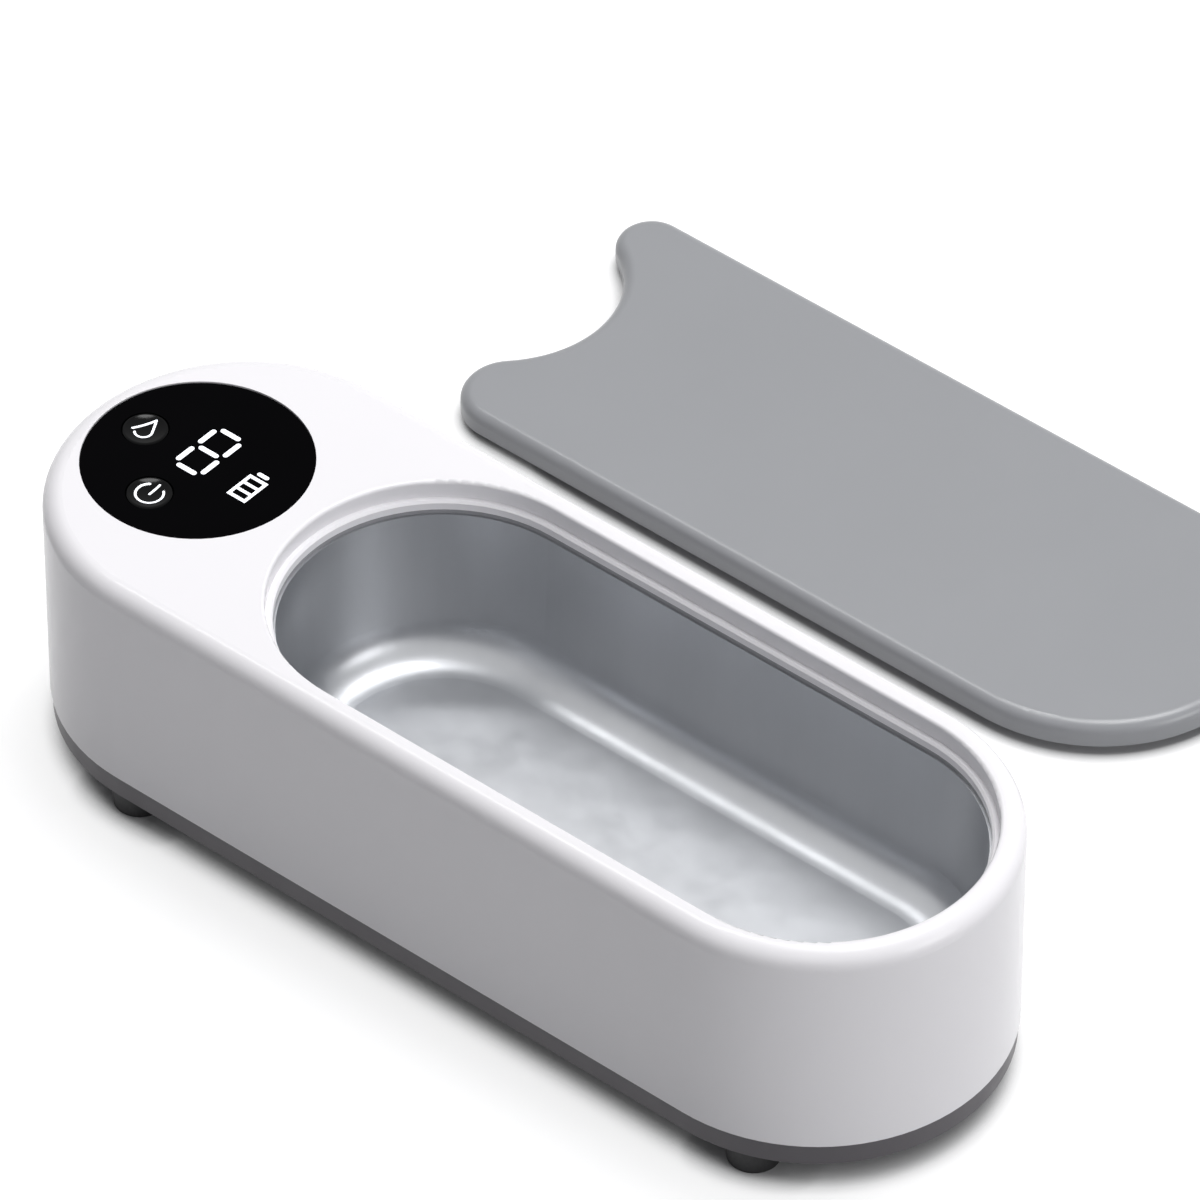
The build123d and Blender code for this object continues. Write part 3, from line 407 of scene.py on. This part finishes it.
def symbol(name, outlines, origin, body, height=flat):
    """One thin mesh of lit shapes lying on the panel or in a key's dish."""
    mesh = bpy.data.meshes.new(name)
    build = bmesh.new()
    for outline in outlines:
        ring = [build.verts.new(((origin.x + p.x) * MM, (origin.y + p.y) * MM, (origin.z + height(p)) * MM))
                for p in outline]
        cut = bmesh.ops.triangulate(build, faces=[build.faces.new(ring)])["faces"]
        raised = bmesh.ops.extrude_face_region(build, geom=cut)["geom"]
        lifted = [v for v in raised if isinstance(v, bmesh.types.BMVert)]
        bmesh.ops.translate(build, verts=lifted, vec=(0, 0, SYMBOL_THICKNESS * MM))
    bmesh.ops.recalc_face_normals(build, faces=build.faces)
    build.to_mesh(mesh)
    build.free()
    made = bpy.data.objects.new(name, mesh)
    bpy.context.scene.collection.objects.link(made)
    made.data.materials.append(LIT)
    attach(made, body)


def seven_segments():
    """Bars of one digit with every segment lit."""
    half, rise = DIGIT_WIDTH / 2, DIGIT_HEIGHT / 2
    places = [((0, DIGIT_Y + row * rise), 0) for row in (-1, 0, 1)]
    places += [((side * half, DIGIT_Y + row * rise / 2), pi / 2) for side in (-1, 1) for row in (-1, 1)]
    return [bar_outline(centre, DIGIT_BAR_LENGTH, DIGIT_STROKE, angle) for centre, angle in places]


def battery_sign():
    """Battery with a white frame round dark windows, drawn as strips that meet edge to edge."""
    wall = (BATTERY_WIDTH - BATTERY_WINDOW_WIDTH) / 2
    strips = []
    for side in (-1, 1):
        x = BATTERY_X + side * (BATTERY_WIDTH - wall) / 2
        strips.append(box_outline((x, 0), wall, BATTERY_HEIGHT))
    edges = [-BATTERY_HEIGHT / 2]
    for window in range(BATTERY_WINDOWS):
        middle = (window - (BATTERY_WINDOWS - 1) / 2) * BATTERY_PITCH
        edges += [middle - BATTERY_WINDOW_HEIGHT / 2, middle + BATTERY_WINDOW_HEIGHT / 2]
    edges.append(BATTERY_HEIGHT / 2)
    for low, high in zip(edges[::2], edges[1::2]):
        strips.append(box_outline((BATTERY_X, (low + high) / 2), BATTERY_WINDOW_WIDTH, high - low))
    nub_y = BATTERY_HEIGHT / 2 + BATTERY_NUB_GAP + BATTERY_NUB_HEIGHT / 2
    strips.append(bar_outline((BATTERY_X, nub_y), BATTERY_NUB_WIDTH, BATTERY_NUB_HEIGHT, 0))
    return strips


def power_sign():
    """Open ring with an upright bar in its gap."""
    middle = Vector((0, 0))
    ring = arc(middle, POWER_RING, radians(90 + POWER_GAP), radians(450 - POWER_GAP), POWER_RING_STEPS)
    bar = straight(middle, Vector((0, POWER_BAR)), POWER_BAR_STEPS)
    return [stroke_outline(ring, SYMBOL_STROKE), stroke_outline(bar, SYMBOL_STROKE)]


def drop_sign():
    """Outline of a drop: a straight left flank that runs past a small opening, and a round right side."""
    reach = DROP_TIP - DROP_CENTRE
    lean = pi / 2 - atan2(DROP_RADIUS, (reach**2 - DROP_RADIUS**2) ** 0.5)
    touch = Vector((-sin(lean) * DROP_RADIUS, DROP_CENTRE + cos(lean) * DROP_RADIUS))
    tip = Vector((0, DROP_TIP))
    flank = touch - tip
    tail = tip + flank * (1 + DROP_TAIL / flank.length)
    left = straight(tail, tip, DROP_LEFT_STEPS)
    belly = arc(Vector((0, DROP_CENTRE)), DROP_RADIUS, pi + radians(DROP_OPENING), 2.5 * pi - lean,
                DROP_BELLY_STEPS)
    right = straight(belly[-1], tip, DROP_RIGHT_STEPS)[1:]
    return [stroke_outline(left, SYMBOL_STROKE), stroke_outline(belly + right, SYMBOL_STROKE)]


panel_centre = centre_of("display_panel")
symbol("lit_digit", seven_segments(), panel_centre, "cleaner")
symbol("lit_battery", battery_sign(), panel_centre, "cleaner")
symbol("lit_power", power_sign(), centre_of("power_key"), "power_button", dish)
symbol("lit_drop", drop_sign(), centre_of("soak_key"), "soak_button", dish)


# Studio
def area_light(name, place, target, width, height, power):
    """Soft box that faces a target."""
    data = bpy.data.lights.new(name, "AREA")
    data.energy = power
    data.shape = "RECTANGLE"
    data.size, data.size_y = width, height
    lamp = bpy.data.objects.new(name, data)
    lamp.location = place
    lamp.rotation_mode = "QUATERNION"
    lamp.rotation_quaternion = (Vector(target) - Vector(place)).to_track_quat("-Z", "Y")
    bpy.context.scene.collection.objects.link(lamp)


def direct_rays(tree):
    """1 for camera, mirror and transmitted rays, else 0."""
    rays = tree.nodes.new("ShaderNodeLightPath")
    value = rays.outputs["Is Camera Ray"]
    for kind in ("Is Glossy Ray", "Is Transmission Ray"):
        value = calculated(tree, "MAXIMUM", value, rays.outputs[kind])
    return value


def studio_world():
    """Light from the world, growing from -X to +X, with a plain background for camera and mirror rays."""
    world = bpy.data.worlds.new("studio")
    bpy.context.scene.world = world
    world.use_nodes = True
    tree = world.node_tree
    tree.nodes.clear()
    fill = node(tree, "ShaderNodeBackground", Color=(*FILL_COLOUR, 1))
    where = tree.nodes.new("ShaderNodeTexCoord")
    parts = tree.nodes.new("ShaderNodeSeparateXYZ")
    link(tree, where.outputs["Generated"], parts.inputs["Vector"])
    side = node(tree, "ShaderNodeMapRange", From_Min=-1.0, From_Max=1.0, To_Min=FILL_DIM,
                To_Max=FILL_BRIGHT)
    link(tree, parts.outputs["X"], side.inputs["Value"])
    link(tree, side.outputs["Result"], fill.inputs["Strength"])
    seen = node(tree, "ShaderNodeBackground", Color=(*WHITE, 1), Strength=BACKGROUND_STRENGTH)
    mix = tree.nodes.new("ShaderNodeMixShader")
    out = tree.nodes.new("ShaderNodeOutputWorld")
    link(tree, direct_rays(tree), mix.inputs["Fac"])
    link(tree, fill.outputs["Background"], mix.inputs[1])
    link(tree, seen.outputs["Background"], mix.inputs[2])
    link(tree, mix.outputs["Shader"], out.inputs["Surface"])


def studio_floor():
    """Plain pale floor at the table's height that keeps the object's shadow, plus a painted contact shadow
    in its glow that is darkest close to the object.
    """
    mesh = bpy.data.meshes.new("floor")
    corners = [(x * FLOOR_SIZE, y * FLOOR_SIZE, 0) for x, y in ((-1, -1), (1, -1), (1, 1), (-1, 1))]
    mesh.from_pydata(corners, [], [(0, 1, 2, 3)])
    floor = bpy.data.objects.new("floor", mesh)
    bpy.context.scene.collection.objects.link(floor)
    pale = surface("floor_pale", FLOOR_COLOUR, 0.75, variation=0.003, mottle=0.3, depth=0.000004,
                   Specular_IOR_Level=0.1)
    tree = pale.node_tree
    # Painted contact shadow: ambient occlusion dims the floor's white glow close to the object
    open_sky = node(tree, "ShaderNodeAmbientOcclusion", Distance=PAINTED_SHADOW_REACH)
    painted_shadow_glow = node(tree, "ShaderNodeMapRange", From_Min=PAINTED_SHADOW_CLOSED, From_Max=PAINTED_SHADOW_OPEN, To_Min=0.0,
                   To_Max=FLOOR_LIFT)
    link(tree, open_sky.outputs["AO"], painted_shadow_glow.inputs["Value"])
    shader = tree.nodes["Principled BSDF"]
    shader.inputs["Emission Color"].default_value = (*WHITE, 1)
    link(tree, calculated(tree, "MULTIPLY", direct_rays(tree), painted_shadow_glow.outputs["Result"]),
         shader.inputs["Emission Strength"])
    mesh.materials.append(pale)


studio_world()
studio_floor()
for lamp_name, settings in LAMPS.items():
    area_light(lamp_name, *settings)


def photo_camera():
    """Camera at the photograph's angle, a long way off with a long lens."""
    data = bpy.data.cameras.new("photo_camera")
    data.lens = CAMERA_LENS
    data.sensor_width = CAMERA_SENSOR
    data.clip_start, data.clip_end = 0.1, 30.0
    camera = bpy.data.objects.new("photo_camera", data)
    back = Vector((sin(CAMERA_AZIMUTH) * cos(CAMERA_ELEVATION), -cos(CAMERA_AZIMUTH) * cos(CAMERA_ELEVATION),
                   sin(CAMERA_ELEVATION)))
    camera.location = CAMERA_TARGET + back * CAMERA_DISTANCE
    camera.rotation_mode = "QUATERNION"
    camera.rotation_quaternion = (-back).to_track_quat("-Z", "Y")
    bpy.context.scene.collection.objects.link(camera)
    bpy.context.scene.camera = camera


photo_camera()
bpy.context.scene.view_settings.view_transform = "Standard"
